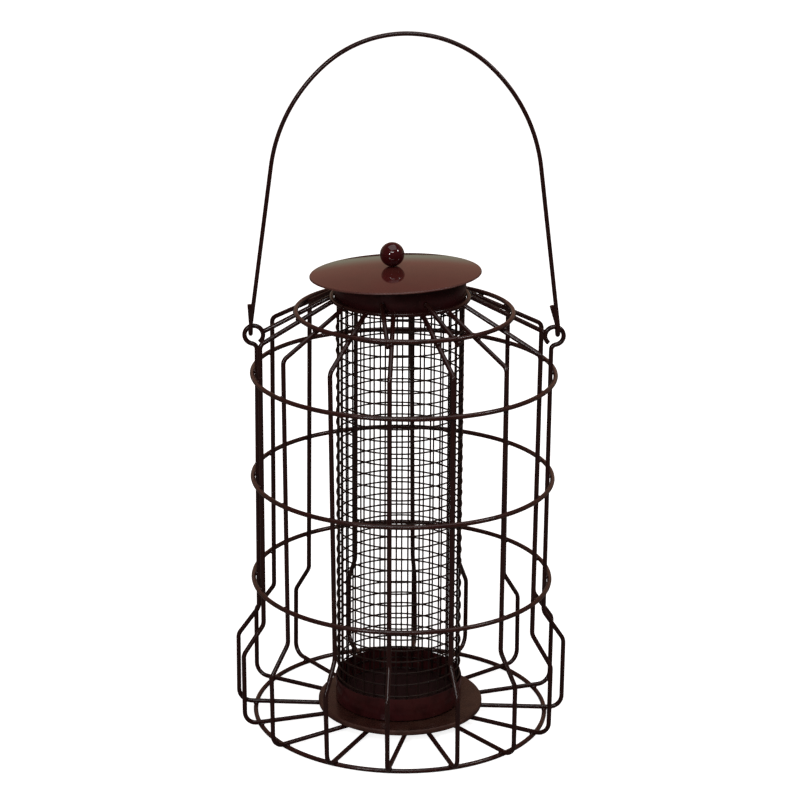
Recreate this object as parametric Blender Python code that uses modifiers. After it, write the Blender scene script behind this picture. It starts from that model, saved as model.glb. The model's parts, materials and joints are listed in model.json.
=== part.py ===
"""Squirrel-proof bird feeder.

A cage of bent wires and welded rings stands round a mesh nut tube. The tube's lower end stands in a cup on the
base plate, and its upper end passes through the neck hoop into a collar. The lid lifts off upwards, and a wire
bail swings in two eyes at the cage's shoulders.

Metres, +Z up. The origin is on the floor under the middle of the cage, and the eyes lie on the X axis.
"""

import math

import bmesh
import bpy
from mathutils import Vector

# Wire, sheet and clearance
WIRE_DIAMETER = 0.0022
BAIL_DIAMETER = 0.0022
SHEET_THICKNESS = 0.0007
JOINT_GAP = 0.0003
MERGE_DISTANCE = 0.00001

# Cage: the uprights bend in to the neck above the shoulder, and out to the foot below the knee
RING_RADIUS = 0.0800
RING_COUNT = 3
RING_MARGIN = 0.0200
SHOULDER_HEIGHT = 0.2147
SHOULDER_BEND = 0.0040
NECK_RISE = 0.0213
SHOULDER_RING_RADIUS = 0.0570
KNEE_HEIGHT = 0.0597
KNEE_BEND = 0.0060
FLARE_DROP = 0.0160
FLARE_REACH = 0.0114
FOOT_BEND = 0.0070
BASE_RING_INSET = 0.0095
SPOKE_OVERLAP = 0.0070

# How far round the cage each plain wire's shoulder, foot and spoke end lie
CAGE_WIRE_DEGREES = (
    (17.2, 17.4, 15.9),
    (41.6, 39.6, 41.3),
    (63.9, 63.4, 62.9),
    (85.5, 83.0, 83.0),
    (108.8, 108.3, 109.9),
    (130.6, 131.3, 138.0),
    (155.0, 154.5, 158.4),
    (194.1, 198.1, 199.1),
    (216.2, 219.6, 226.1),
    (240.0, 243.4, 243.1),
    (263.2, 264.4, 273.5),
    (287.0, 288.2, 290.8),
    (310.3, 311.0, 314.8),
    (332.9, 332.4, 334.0),
)
RIGHT_EYE_WIRE_DEGREES = (0, -3.9, -4.7)
LEFT_EYE_WIRE_DEGREES = (180, 178.2, 180.5)

# Eyes at the top of the two side uprights
EYE_RADIUS = 0.0049
EYE_REACH = 0.0015
EYE_JOIN_DEGREES = 10
EYE_END_DEGREES = 35

# Neck struts: where each foot lies round the shoulder ring, how far its head is turned back from there, and
# how far the head clears the neck hoop
STRUT_FOOT_DEGREES = (260.2, 297.2, 80.2, 117.2)
STRUT_TURN_DEGREES = 6.5
STRUT_OVERHANG = 0.0003
STRUT_RISE = 0.0021

# Mesh tube, base cup, base plate and collar
MESH_RADIUS = 0.0335
MESH_WIRE = 0.0008
MESH_COLUMNS = 16
MESH_ROWS = 18
MESH_HEADROOM = 0.0020
PLATE_RADIUS = 0.0449
PLATE_RIM = 0.0028
PLATE_BEND = 0.0010
CUP_HEIGHT = 0.0115
CUP_BEND = 0.0010
COLLAR_HEIGHT = 0.0132
COLLAR_DROP = 0.0011

# Lid, knob and knob screw: the lid is set down to the left, leans left and nods to the back
LID_RADIUS = 0.0450
LID_RISE = 0.0035
LID_LIP = 0.0008
LID_SKIRT_DEPTH = 0.0090
LID_SHIFT = 0.0051
LID_LEAN_DEGREES = 2.55
LID_NOD_DEGREES = 1.6
KNOB_RADIUS = 0.0064
KNOB_FLAT_RADIUS = 0.0024
KNOB_BORE_DEPTH = 0.0060
SCREW_DIAMETER = 0.0030
SCREW_HEAD_RADIUS = 0.0030
SCREW_HEAD_HEIGHT = 0.0018
WASHER_RADIUS = 0.0045
WASHER_THICKNESS = 0.0008

# Bail: a crown arc, an easier arc at each shoulder, two straight legs, and a hook with a short tail in each eye
BAIL_RISE = 0.1541
BAIL_CROWN_RADIUS = 0.0625
BAIL_CROWN_DEGREES = 42.5
BAIL_SHOULDER_RADIUS = 0.0864
HOOK_CLEARANCE = 0.0020
HOOK_SIDE_CLEARANCE = 0.0011
TAIL_LENGTH = 0.0104
LEFT_TAIL_LEAN = -0.0007
RIGHT_TAIL_LEAN = -0.0032

# Facets
RING_STEPS = 40
NECK_STEPS = 32
RING_SIDES = 8
BASE_RING_SIDES = 10
TURN_STEPS = 40
SMALL_TURN_STEPS = 20
WIRE_RESOLUTION = 2

# Colours of the powder coat, the glossy lid and the bare steel fasteners
COAT_COLOUR = (0.045, 0.014, 0.013, 1)
RING_COLOUR = (0.055, 0.017, 0.015, 1)
MESH_COLOUR = (0.020, 0.010, 0.010, 1)
LID_COLOUR = (0.110, 0.034, 0.026, 1)
KNOB_COLOUR = (0.070, 0.008, 0.010, 1)
STEEL_COLOUR = (0.480, 0.480, 0.490, 1)

# Radii and heights that follow from the sizes above
WIRE_RADIUS = WIRE_DIAMETER / 2
BAIL_WIRE_RADIUS = BAIL_DIAMETER / 2
WIRE_STEP = WIRE_DIAMETER + JOINT_GAP
UPRIGHT_RADIUS = RING_RADIUS - WIRE_STEP
FLARE_RADIUS = UPRIGHT_RADIUS + FLARE_REACH
BASE_RING_HEIGHT = WIRE_RADIUS * math.cos(math.pi / BASE_RING_SIDES)
SPOKE_HEIGHT = BASE_RING_HEIGHT + WIRE_STEP
PLATE_BOTTOM = SPOKE_HEIGHT + WIRE_RADIUS + JOINT_GAP
PLATE_TOP = PLATE_BOTTOM + PLATE_RIM
CUP_BOTTOM = PLATE_TOP + JOINT_GAP
MESH_BOTTOM = CUP_BOTTOM + SHEET_THICKNESS + JOINT_GAP
SLEEVE_RADIUS = MESH_RADIUS + JOINT_GAP + SHEET_THICKNESS
NECK_HOOP_RADIUS = SLEEVE_RADIUS + JOINT_GAP + WIRE_RADIUS
NECK_SLOPE = math.atan2(NECK_RISE, UPRIGHT_RADIUS - NECK_HOOP_RADIUS)
NECK_HOOP_HEIGHT = SHOULDER_HEIGHT + NECK_RISE
SLOPE_HEAD_RADIUS = NECK_HOOP_RADIUS + (WIRE_RADIUS + JOINT_GAP) * math.cos(NECK_SLOPE)
COLLAR_BOTTOM = NECK_HOOP_HEIGHT - COLLAR_DROP
COLLAR_TOP = COLLAR_BOTTOM + COLLAR_HEIGHT
LID_LEAN = math.radians(LID_LEAN_DEGREES)
LID_NOD = math.radians(LID_NOD_DEGREES)
LID_FALL = LID_RISE / LID_RADIUS**2
LID_MEAN_DROP = LID_FALL * (SLEEVE_RADIUS**2 + LID_SHIFT**2) - LID_SHIFT * math.tan(LID_LEAN)
LID_SIDE_DROP = SLEEVE_RADIUS * (math.tan(LID_LEAN) - 2 * LID_FALL * LID_SHIFT)
LID_BACK_DROP = SLEEVE_RADIUS * math.tan(LID_NOD)
LID_SEAT = COLLAR_TOP + JOINT_GAP + LID_MEAN_DROP + math.hypot(LID_SIDE_DROP, LID_BACK_DROP)
EYE_CENTRE_RADIUS = UPRIGHT_RADIUS + EYE_REACH
HINGE_HEIGHT = SHOULDER_HEIGHT + EYE_RADIUS
HOOK_RADIUS = WIRE_RADIUS + BAIL_WIRE_RADIUS + HOOK_CLEARANCE
HOOK_REACH = EYE_CENTRE_RADIUS + EYE_RADIUS - WIRE_RADIUS - BAIL_WIRE_RADIUS - HOOK_SIDE_CLEARANCE
SHANK_HOLE_RADIUS = SCREW_DIAMETER / 2 + JOINT_GAP


def clear_scene():
    for item in list(bpy.data.objects):
        bpy.data.objects.remove(item)


def new_collection(name):
    collection = bpy.data.collections.new(name)
    bpy.context.scene.collection.children.link(collection)
    return collection


def finish(name, colour, roughness, metallic):
    material = bpy.data.materials.new(name)
    material.use_nodes = True
    shader = material.node_tree.nodes["Principled BSDF"]
    shader.inputs["Base Color"].default_value = colour
    shader.inputs["Roughness"].default_value = roughness
    shader.inputs["Metallic"].default_value = metallic
    return material


def add_object(name, data, material, parent=None):
    item = bpy.data.objects.new(name, data)
    if not data.materials:
        data.materials.append(material)
    item.parent = parent
    PARTS.objects.link(item)
    return item


def joint_empty(name, height):
    empty = bpy.data.objects.new(name, None)
    empty.location.z = height
    PARTS.objects.link(empty)
    return empty


def wire_curve(name, points, radius):
    """A bent wire along the points, as a round tube with closed ends."""
    curve = bpy.data.curves.new(name, "CURVE")
    curve.dimensions = "3D"
    curve.bevel_depth = radius
    curve.bevel_resolution = WIRE_RESOLUTION
    curve.use_fill_caps = True
    spline = curve.splines.new("POLY")
    spline.points.add(len(points) - 1)
    for slot, point in zip(spline.points, points):
        slot.co = (*point, 1)
    return curve


def arc_points(centre, radius, start, end, steps):
    """Points of an arc in the plane, as 2D vectors, from one angle to the other."""
    turns = [start + (end - start) * step / steps for step in range(steps + 1)]
    return [centre + radius * Vector((math.cos(turn), math.sin(turn))) for turn in turns]


def bent_path(corners, bends, steps):
    """The centreline of a bent wire: straight runs between the corners, with an arc at each inner corner."""
    points = [corners[0]]
    for index, (bend, count) in enumerate(zip(bends, steps), start=1):
        corner = corners[index]
        incoming = (corner - corners[index - 1]).normalized()
        outgoing = (corners[index + 1] - corner).normalized()
        turn = incoming.angle(outgoing)
        inward = (outgoing - incoming * incoming.dot(outgoing)).normalized()
        start = corner - incoming * bend * math.tan(turn / 2)
        centre = start + inward * bend
        for step in range(count + 1):
            angle = turn * step / count
            points.append(centre - inward * bend * math.cos(angle) + incoming * bend * math.sin(angle))
    points.append(corners[-1])
    return points


def polar(radius, angle, height):
    return Vector((radius * math.cos(angle), radius * math.sin(angle), height))


def round_cage(points, degrees):
    """Places a wire's (radius, height) points at its shoulder angle, leaning to its foot and spoke angles."""
    shoulder, foot, spoke = (math.radians(angle) for angle in degrees)
    lean_top = SHOULDER_HEIGHT - RING_MARGIN
    placed = []
    for point in points:
        lean = min(1, max(0, (lean_top - point.y) / (lean_top - SPOKE_HEIGHT)))
        placed.append(polar(point.x, shoulder + (foot - shoulder) * lean, point.y))
    placed[-1] = polar(points[-1].x, spoke, points[-1].y)
    return placed


def slope_height(radius):
    """Height of the neck slope wires' centreline at a radius."""
    return SHOULDER_HEIGHT + (UPRIGHT_RADIUS - radius) * math.tan(NECK_SLOPE)


def foot_corners():
    """The corners that every upright shares, from the knee down to the spoke's inner end."""
    return [
        Vector((UPRIGHT_RADIUS, KNEE_HEIGHT)),
        Vector((FLARE_RADIUS, KNEE_HEIGHT - FLARE_DROP)),
        Vector((FLARE_RADIUS, SPOKE_HEIGHT)),
        Vector((PLATE_RADIUS - SPOKE_OVERLAP, SPOKE_HEIGHT)),
    ]


def build_cage_wires(material):
    corners = [
        Vector((SLOPE_HEAD_RADIUS, slope_height(SLOPE_HEAD_RADIUS))),
        Vector((UPRIGHT_RADIUS, SHOULDER_HEIGHT)),
        *foot_corners(),
    ]
    bends = (SHOULDER_BEND, KNEE_BEND, KNEE_BEND, FOOT_BEND)
    path = bent_path(corners, bends, steps=(3, 2, 2, 4))
    for number, degrees in enumerate(CAGE_WIRE_DEGREES, start=1):
        name = f"cage_wire_{number:02d}"
        add_object(name, wire_curve(name, round_cage(path, degrees), WIRE_RADIUS), material)


def eye_path():
    """An upright that turns out at its top and curls into the eye, from the eye's free end to the spoke."""
    join = math.radians(EYE_JOIN_DEGREES)
    turn = math.pi / 2 - join
    centre = Vector((EYE_CENTRE_RADIUS, SHOULDER_HEIGHT))
    joined = centre + EYE_RADIUS * Vector((math.sin(join), -math.cos(join)))
    bend = (joined.x - UPRIGHT_RADIUS) / (1 - math.cos(turn))
    bend_centre = Vector((UPRIGHT_RADIUS + bend, joined.y - bend * math.sin(turn)))
    loop_start = join - math.pi / 2
    loop_end = math.pi + math.radians(EYE_END_DEGREES)
    loop = arc_points(centre, EYE_RADIUS, loop_start, loop_end, steps=14)
    neck = arc_points(bend_centre, bend, math.pi, math.pi - turn, steps=4)
    foot = foot_corners()
    upright = bent_path([neck[0], *foot], (KNEE_BEND, KNEE_BEND, FOOT_BEND), steps=(2, 2, 4))
    return loop[:0:-1] + neck[:0:-1] + upright


def build_eye_wires(material):
    path = eye_path()
    sides = {"eye_wire_right": RIGHT_EYE_WIRE_DEGREES, "eye_wire_left": LEFT_EYE_WIRE_DEGREES}
    for name, degrees in sides.items():
        add_object(name, wire_curve(name, round_cage(path, degrees), WIRE_RADIUS), material)


def build_eye_braces(material):
    """Slope wires from the neck hoop to the inner side of each eye."""
    head = Vector((SLOPE_HEAD_RADIUS, slope_height(SLOPE_HEAD_RADIUS)))
    centre = Vector((EYE_CENTRE_RADIUS, SHOULDER_HEIGHT))
    along = Vector((math.cos(NECK_SLOPE), -math.sin(NECK_SLOPE)))
    reach = (centre - head).dot(along)
    aside = (centre - head - along * reach).length
    clearance = EYE_RADIUS + WIRE_RADIUS + JOINT_GAP
    end = head + along * (reach - math.sqrt(clearance**2 - aside**2))
    for name, side in (("eye_brace_right", 1), ("eye_brace_left", -1)):
        points = [Vector((side * point.x, 0, point.y)) for point in (head, end)]
        add_object(name, wire_curve(name, points, WIRE_RADIUS), material)


def build_ring(name, radius, height, steps, sides, material):
    bpy.ops.mesh.primitive_torus_add(
        major_radius=radius,
        minor_radius=WIRE_RADIUS,
        major_segments=steps,
        minor_segments=sides,
        location=(0, 0, height),
    )
    ring = bpy.context.object
    ring.name = name
    ring.data.name = name
    ring.data.materials.append(material)
    ring.data.shade_smooth()
    for owner in list(ring.users_collection):
        owner.objects.unlink(ring)
    PARTS.objects.link(ring)
    return ring


def build_rings(material):
    build_ring("base_ring", FLARE_RADIUS - BASE_RING_INSET, BASE_RING_HEIGHT, RING_STEPS, BASE_RING_SIDES, material)
    bottom = KNEE_HEIGHT + RING_MARGIN
    top = SHOULDER_HEIGHT - RING_MARGIN
    for index, name in enumerate(("lower_ring", "middle_ring", "upper_ring")):
        height = bottom + (top - bottom) * index / (RING_COUNT - 1)
        build_ring(name, RING_RADIUS, height, RING_STEPS, RING_SIDES, material)
    build_ring("shoulder_ring", SHOULDER_RING_RADIUS, shoulder_ring_height(), NECK_STEPS, RING_SIDES, material)
    build_ring("neck_hoop", NECK_HOOP_RADIUS, NECK_HOOP_HEIGHT, NECK_STEPS, RING_SIDES, material)


def shoulder_ring_height():
    return slope_height(SHOULDER_RING_RADIUS) + WIRE_STEP / math.cos(NECK_SLOPE)


def build_neck_struts(material):
    """Straight wires from the collar's side, above the neck hoop, to the under side of the shoulder ring."""
    head = Vector((NECK_HOOP_RADIUS, NECK_HOOP_HEIGHT + WIRE_STEP + STRUT_RISE))
    span = Vector((SHOULDER_RING_RADIUS, shoulder_ring_height())) - head
    fall = math.atan2(-span.y, span.x) + math.asin(WIRE_STEP / span.length)
    foot = head + (span.x + STRUT_OVERHANG) * Vector((1, -math.tan(fall)))
    for number, degrees in enumerate(STRUT_FOOT_DEGREES, start=1):
        name = f"neck_strut_{number}"
        top = polar(head.x, math.radians(degrees - STRUT_TURN_DEGREES), head.y)
        bottom = polar(foot.x, math.radians(degrees), foot.y)
        add_object(name, wire_curve(name, [top, bottom], WIRE_RADIUS), material)


def turned(name, profile, steps, material, parent=None, thickness=0):
    """A profile of (radius, height) points turned about Z. A sheet piece is its outer face, thickened inwards."""
    mesh = bpy.data.meshes.new(name)
    edges = [(index, index + 1) for index in range(len(profile) - 1)]
    mesh.from_pydata([(radius, 0, height) for radius, height in profile], edges, [])
    item = add_object(name, mesh, material, parent)
    screw = item.modifiers.new("Turn", "SCREW")
    screw.steps = steps
    screw.render_steps = steps
    screw.use_merge_vertices = True
    screw.merge_threshold = MERGE_DISTANCE
    screw.use_smooth_shade = True
    if thickness:
        shell = item.modifiers.new("Sheet", "SOLIDIFY")
        shell.thickness = thickness
        shell.offset = -1
        shell.use_even_offset = True
    return item


def bend_profile(corner, radius, start, end, steps):
    """A sheet bend inside a corner of a profile, given by the corner and the bend radius."""
    centre = Vector(corner)
    return [tuple(point) for point in arc_points(centre, radius, start, end, steps)]


def build_base_plate(material):
    bend = bend_profile((PLATE_RADIUS - PLATE_BEND, PLATE_TOP - PLATE_BEND), PLATE_BEND, math.pi / 2, 0, steps=2)
    turned("base_plate", [(0, PLATE_TOP), *bend, (PLATE_RADIUS, PLATE_BOTTOM)], TURN_STEPS, material,
           thickness=SHEET_THICKNESS)


def build_base_cup(material):
    bend = bend_profile((SLEEVE_RADIUS - CUP_BEND, CUP_BOTTOM + CUP_BEND), CUP_BEND, 0, -math.pi / 2, steps=2)
    turned("base_cup", [(SLEEVE_RADIUS, CUP_BOTTOM + CUP_HEIGHT), *bend, (0, CUP_BOTTOM)], TURN_STEPS, material,
           thickness=SHEET_THICKNESS)


def build_collar(material):
    profile = [(SLEEVE_RADIUS, COLLAR_TOP), (SLEEVE_RADIUS, COLLAR_BOTTOM)]
    turned("collar", profile, TURN_STEPS, material, thickness=SHEET_THICKNESS)


def mesh_angle(column):
    """Angle of one edge of a mesh strip: even columns start a strip and odd columns end it."""
    strip = math.tau * (column // 2) / MESH_COLUMNS
    half_strip = MESH_WIRE / MESH_RADIUS / 2
    return strip + (half_strip if column % 2 else -half_strip)


def mesh_height(row):
    """Height of one edge of a mesh hoop: even rows start a hoop and odd rows end it."""
    pitch = (COLLAR_TOP - MESH_HEADROOM - MESH_WIRE - MESH_BOTTOM) / MESH_ROWS
    return MESH_BOTTOM + pitch * (row // 2) + (MESH_WIRE if row % 2 else 0)


def build_mesh_tube(material):
    """A flat lattice with one open face for each gap, rolled into a tube and thickened to the wire."""
    columns = 2 * MESH_COLUMNS
    rows = 2 * MESH_ROWS + 1
    lattice = bmesh.new()
    bmesh.ops.create_grid(lattice, x_segments=columns, y_segments=rows, size=0.5)
    gaps = []
    for face in lattice.faces:
        middle = face.calc_center_median()
        column = int((middle.x + 0.5) * columns)
        row = int((middle.y + 0.5) * rows)
        if column % 2 and row % 2:
            gaps.append(face)
    bmesh.ops.delete(lattice, geom=gaps, context="FACES")
    for vertex in lattice.verts:
        column = round((vertex.co.x + 0.5) * columns)
        row = round((vertex.co.y + 0.5) * rows)
        vertex.co = polar(MESH_RADIUS, mesh_angle(column), mesh_height(row))
    bmesh.ops.remove_doubles(lattice, verts=lattice.verts, dist=MERGE_DISTANCE)
    mesh = bpy.data.meshes.new("mesh_tube")
    lattice.to_mesh(mesh)
    lattice.free()
    tube = add_object("mesh_tube", mesh, material)
    wire = tube.modifiers.new("Wire", "SOLIDIFY")
    wire.thickness = MESH_WIRE
    wire.offset = -1


def lid_top(radius):
    """Height of the lid's upper face above the under side of its crown."""
    return SHEET_THICKNESS - LID_FALL * radius**2


def build_lid(lid_material, knob_material, steel_material):
    """The lid and what is fixed to it, resting on one side of the collar's rim."""
    lift = joint_empty("lid_lift", LID_SEAT)
    lift.location.x = -LID_SHIFT
    lift.rotation_euler.x = -LID_NOD
    lift.rotation_euler.y = -LID_LEAN
    dome_steps = 4
    radii = [SHANK_HOLE_RADIUS + (LID_RADIUS - SHANK_HOLE_RADIUS) * step / dome_steps for step in range(dome_steps + 1)]
    dome = [(radius, lid_top(radius)) for radius in radii]
    lip = (LID_RADIUS, lid_top(LID_RADIUS) - LID_LIP)
    turned("lid", [*dome, lip], TURN_STEPS, lid_material, lift, thickness=SHEET_THICKNESS)

    skirt_radius = (MESH_RADIUS - MESH_WIRE) * math.cos(math.pi / MESH_COLUMNS) - LID_SHIFT - JOINT_GAP
    skirt_top = lid_top(skirt_radius) - SHEET_THICKNESS - JOINT_GAP
    skirt = [(skirt_radius, skirt_top), (skirt_radius, skirt_top - LID_SKIRT_DEPTH)]
    turned("lid_skirt", skirt, TURN_STEPS, lid_material, lift, thickness=SHEET_THICKNESS)

    build_knob(knob_material, lift)
    build_knob_fasteners(steel_material, lift)


def build_knob(material, lift):
    bottom = lid_top(0) + JOINT_GAP
    centre = Vector((0, bottom + math.sqrt(KNOB_RADIUS**2 - KNOB_FLAT_RADIUS**2)))
    ball = arc_points(centre, KNOB_RADIUS, math.pi / 2, -math.acos(KNOB_FLAT_RADIUS / KNOB_RADIUS), steps=9)
    bore = [(SHANK_HOLE_RADIUS, bottom), (SHANK_HOLE_RADIUS, bottom + KNOB_BORE_DEPTH), (0, bottom + KNOB_BORE_DEPTH)]
    turned("knob", [tuple(point) for point in ball] + bore, SMALL_TURN_STEPS, material, lift)


def build_knob_fasteners(material, lift):
    washer_top = lid_top(0) - SHEET_THICKNESS - JOINT_GAP
    washer_bottom = washer_top - WASHER_THICKNESS
    washer = [
        (SHANK_HOLE_RADIUS, washer_top),
        (WASHER_RADIUS, washer_top),
        (WASHER_RADIUS, washer_bottom),
        (SHANK_HOLE_RADIUS, washer_bottom),
        (SHANK_HOLE_RADIUS, washer_top),
    ]
    turned("knob_washer", washer, SMALL_TURN_STEPS, material, lift)

    head_top = washer_bottom - JOINT_GAP
    head_bottom = head_top - SCREW_HEAD_HEIGHT
    shank_top = lid_top(0) + KNOB_BORE_DEPTH
    shank_radius = SCREW_DIAMETER / 2
    screw = [
        (0, shank_top),
        (shank_radius, shank_top),
        (shank_radius, head_top),
        (SCREW_HEAD_RADIUS, head_top),
        (SCREW_HEAD_RADIUS, head_bottom),
        (0, head_bottom),
    ]
    turned("knob_screw", screw, SMALL_TURN_STEPS, material, lift)


def hook_points(side, lean):
    """One hook, from the foot of the leg, under the eye's top wire and up to the tail's end."""
    hook = arc_points(Vector((0, 0)), HOOK_RADIUS, math.pi, math.tau, steps=6)
    points = [Vector((side * HOOK_REACH, point.x, point.y)) for point in hook]
    tail = Vector((side * HOOK_REACH + lean, HOOK_RADIUS, TAIL_LENGTH))
    return [*points, tail]


def build_bail(material):
    """The bail upright, with its hooks round the top wire of each eye, on the hinge axis."""
    hinge = joint_empty("bail_hinge", HINGE_HEIGHT)
    crown_centre = Vector((0, BAIL_RISE - BAIL_CROWN_RADIUS))
    crown_end = math.pi / 2 - math.radians(BAIL_CROWN_DEGREES)
    crown = arc_points(crown_centre, BAIL_CROWN_RADIUS, math.pi / 2, crown_end, steps=6)
    outward = (crown[-1] - crown_centre).normalized()
    shoulder_centre = crown[-1] - outward * BAIL_SHOULDER_RADIUS
    leg = Vector((HOOK_REACH, 0)) - shoulder_centre
    tangent = math.atan2(leg.y, leg.x) + math.acos(BAIL_SHOULDER_RADIUS / leg.length)
    shoulder = arc_points(shoulder_centre, BAIL_SHOULDER_RADIUS, crown_end, tangent, steps=5)
    half = crown + shoulder[1:]
    right = [Vector((point.x, 0, point.y)) for point in half] + hook_points(1, RIGHT_TAIL_LEAN)
    left = [Vector((-point.x, 0, point.y)) for point in half[1:]] + hook_points(-1, LEFT_TAIL_LEAN)
    points = left[::-1] + right
    add_object("bail", wire_curve("bail", points, BAIL_WIRE_RADIUS), material, hinge)


def build_feeder():
    coat = finish("burgundy_powder_coat", COAT_COLOUR, roughness=0.38, metallic=0)
    ring_coat = finish("burgundy_ring_coat", RING_COLOUR, roughness=0.36, metallic=0)
    build_cage_wires(coat)
    build_eye_wires(coat)
    build_eye_braces(coat)
    build_rings(ring_coat)
    build_neck_struts(coat)
    build_base_plate(finish("plate_coat", COAT_COLOUR, roughness=0.30, metallic=0))
    build_base_cup(finish("cup_coat", COAT_COLOUR, roughness=0.25, metallic=0))
    build_collar(finish("collar_coat", COAT_COLOUR, roughness=0.30, metallic=0))
    build_mesh_tube(finish("mesh_coat", MESH_COLOUR, roughness=0.45, metallic=0))
    build_lid(
        finish("lid_gloss_coat", LID_COLOUR, roughness=0.16, metallic=0),
        finish("knob_gloss_coat", KNOB_COLOUR, roughness=0.10, metallic=0),
        finish("zinc_steel", STEEL_COLOUR, roughness=0.35, metallic=1),
    )
    build_bail(finish("bail_coat", COAT_COLOUR, roughness=0.38, metallic=0))


clear_scene()
PARTS = new_collection("squirrel_proof_bird_feeder")
build_feeder()
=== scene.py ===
"""Looks for the squirrel-proof bird feeder.

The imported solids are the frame. Here every wire, ring and sheet gets a finer piece in the same
place, the wires are welded together, the seed tube gets its fine welded mesh, and everything gets
its paint or metal.

Metres, +Z up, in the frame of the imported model. Angles are in degrees round the cage, from +X
towards +Y.
"""

import json
import math

import bmesh
import bpy
from mathutils import Euler, Matrix, Vector

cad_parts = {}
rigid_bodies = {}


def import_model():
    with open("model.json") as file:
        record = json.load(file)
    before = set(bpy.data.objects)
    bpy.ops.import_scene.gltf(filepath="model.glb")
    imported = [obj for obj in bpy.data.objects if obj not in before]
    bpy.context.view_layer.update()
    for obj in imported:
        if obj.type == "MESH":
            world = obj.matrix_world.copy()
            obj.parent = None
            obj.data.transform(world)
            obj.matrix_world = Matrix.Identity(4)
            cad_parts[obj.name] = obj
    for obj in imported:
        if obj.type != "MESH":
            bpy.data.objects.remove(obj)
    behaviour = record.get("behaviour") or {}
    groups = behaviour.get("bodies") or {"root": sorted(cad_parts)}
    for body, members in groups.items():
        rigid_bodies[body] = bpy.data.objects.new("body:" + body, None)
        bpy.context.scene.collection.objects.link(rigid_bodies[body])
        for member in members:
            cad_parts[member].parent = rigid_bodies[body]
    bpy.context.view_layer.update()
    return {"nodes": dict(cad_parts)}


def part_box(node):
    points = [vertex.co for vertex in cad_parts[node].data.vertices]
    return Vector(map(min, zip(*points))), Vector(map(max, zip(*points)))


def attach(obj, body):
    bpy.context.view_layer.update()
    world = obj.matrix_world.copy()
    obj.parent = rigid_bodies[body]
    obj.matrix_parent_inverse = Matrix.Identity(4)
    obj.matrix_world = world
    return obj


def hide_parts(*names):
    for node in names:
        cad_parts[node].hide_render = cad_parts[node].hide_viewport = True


# Wire, sheet and clearance, as in the solids
WIRE_RADIUS = 0.0011
SHEET = 0.0007
JOINT_GAP = 0.0003
WIRE_STEP = 2 * WIRE_RADIUS + JOINT_GAP

# The wires as they show, with their coat and their welds closing the solids' clearances
FINE_WIRE_RADIUS = 0.00125
FINE_BAIL_RADIUS = 0.00118
WIRE_SWELL = FINE_WIRE_RADIUS - WIRE_RADIUS
BAIL_SWELL = FINE_BAIL_RADIUS - WIRE_RADIUS

# Cage outline, as in the solids
SHOULDER_HEIGHT = 0.2147
SHOULDER_BEND = 0.0040
NECK_RISE = 0.0213
RING_MARGIN = 0.0200
KNEE_HEIGHT = 0.0597
KNEE_BEND = 0.0060
FLARE_DROP = 0.0160
FLARE_REACH = 0.0114
FOOT_BEND = 0.0070
SPOKE_OVERLAP = 0.0070

# Shoulder, foot and spoke angle of each cage wire, first the plain ones and then those with an eye
CAGE_WIRE_DEGREES = (
    (17.2, 17.4, 15.9),
    (41.6, 39.6, 41.3),
    (63.9, 63.4, 62.9),
    (85.5, 83.0, 83.0),
    (108.8, 108.3, 109.9),
    (130.6, 131.3, 138.0),
    (155.0, 154.5, 158.4),
    (194.1, 198.1, 199.1),
    (216.2, 219.6, 226.1),
    (240.0, 243.4, 243.1),
    (263.2, 264.4, 273.5),
    (287.0, 288.2, 290.8),
    (310.3, 311.0, 314.8),
    (332.9, 332.4, 334.0),
)
EYE_WIRE_DEGREES = {"eye_wire_right": (0, -3.9, -4.7), "eye_wire_left": (180, 178.2, 180.5)}

# Eyes, bail and its hooks
EYE_RADIUS = 0.0049
EYE_REACH = 0.0015
EYE_JOIN_DEGREES = 10
EYE_END_DEGREES = 52
BAIL_RISE = 0.1541
BAIL_CROWN_RADIUS = 0.0625
BAIL_CROWN_DEGREES = 42.5
BAIL_SHOULDER_RADIUS = 0.0864
HOOK_CLEARANCE = 0.0020
HOOK_SIDE_CLEARANCE = 0.0011
TAIL_LENGTH = 0.0104
TAIL_LEANS = {1: -0.0032, -1: -0.0007}

# Struts from the collar's side, over the neck hoop, to the under side of the shoulder ring
STRUT_FOOT_DEGREES = (260.2, 297.2, 80.2, 117.2)
STRUT_TURN_DEGREES = 6.5
STRUT_OVERHANG = 0.0003
STRUT_RISE = 0.0021

# Welds
WELD_RADIUS = 0.00158
WELD_FLATTENING = 0.85
WELD_SUBDIVISIONS = 2
PLATE_WELD_LENGTH = 0.0035

# Seed tube mesh
MESH_WIRE_RADIUS = 0.00044
MESH_UPRIGHTS = 34
MESH_HOOPS = 37
MESH_FIRST_DEGREES = 1.4
MESH_WELD_DEPTH = 0.0006
MESH_SEAM_DEGREES = 97.0
MESH_SEAM_OVERLAP_DEGREES = 13.0
MESH_SEAM_STEP = 0.0003
MESH_SEAM_STEEPNESS = 3
MESH_HOOP_SAG = 0.00025
MESH_HOOP_WAVES = 2
MESH_HOOP_PHASE = 0.9

# The tube, with its cup, collar and neck hoop, as it shows: a little to the left in its cage, and
# leaning left
CORE_SHIFT = -0.0009
CORE_LEAN_DEGREES = 0.36
CORE_SHEET = 0.0004
MESH_SWELL = 0.0006
CUP_RISE = 0.0016

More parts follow.
